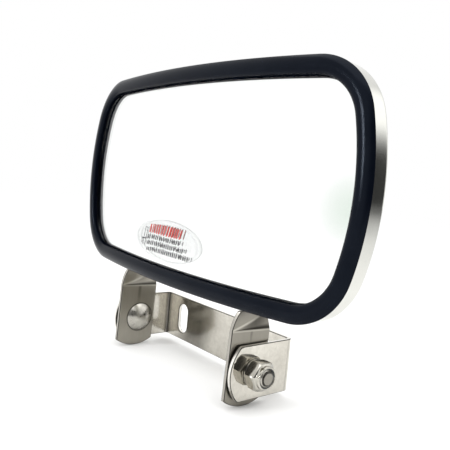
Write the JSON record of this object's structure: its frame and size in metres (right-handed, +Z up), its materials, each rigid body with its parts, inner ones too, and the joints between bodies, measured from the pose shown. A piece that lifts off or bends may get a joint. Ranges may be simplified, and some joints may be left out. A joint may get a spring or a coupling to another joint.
{
  "type": "traffic convex mirror",
  "caption": "Barrel-shaped convex traffic mirror with a rubber rim and steel back shell, held by twisted arms that tilt on a slotted U-shaped bracket.",
  "frame": {"origin": "centre of the bracket's flat rear mounting face", "axes": "+Z up at rest, +Y out of the mounting face towards the wall or post, -Y the way the glass looks, +X to the right seen from the front"},
  "size_m": [0.2758, 0.0496, 0.196],
  "materials": {
    "bracket_steel": "fine brushed stainless sheet",
    "arm_steel": "satin stainless strip",
    "shell_steel": "polished pressed stainless",
    "fastener_steel": "bright stainless fastener",
    "friction_fibre": "matt fibre washer",
    "nylon": "natural nylon",
    "rim_rubber": "smooth black extruded rubber",
    "foam": "closed-cell foam",
    "mirror": "second-surface silvered glass",
    "label_film": null
  },
  "bodies": {
    "bracket": {"u_bracket": "bracket_steel", "left_friction_washer": "friction_fibre", "right_friction_washer": "friction_fibre", "left_flat_washer": "fastener_steel", "right_flat_washer": "fastener_steel"},
    "head": {"left_pivot_bolt": "fastener_steel", "right_pivot_bolt": "fastener_steel", "left_arm": "arm_steel", "right_arm": "arm_steel", "left_arm_screws": "fastener_steel", "right_arm_screws": "fastener_steel", "left_screw_washers": "fastener_steel", "right_screw_washers": "fastener_steel", "left_clinch_nuts": "fastener_steel", "right_clinch_nuts": "fastener_steel", "back_shell": "shell_steel", "foam_pad": "foam", "mirror_glass": "mirror", "rim_gasket": "rim_rubber", "film_label": "label_film"},
    "left_nut": {"left_lock_nut": "fastener_steel", "left_nylon_ring": "nylon"},
    "right_nut": {"right_lock_nut": "fastener_steel", "right_nylon_ring": "nylon"}
  },
  "joints": [
    {"name": "head_tilt", "type": "hinge", "parent": "bracket", "child": "head", "pos_m": [0, -0.0305, 0], "axis": [1, 0, 0], "range_deg": [-28, 90]},
    {"name": "left_nut_turn", "type": "hinge", "parent": "head", "child": "left_nut", "pos_m": [-0.0725, -0.0305, 0], "axis": [-1, 0, 0], "continuous": true},
    {"name": "right_nut_turn", "type": "hinge", "parent": "head", "child": "right_nut", "pos_m": [0.0725, -0.0305, 0], "axis": [1, 0, 0], "continuous": true}
  ]
}
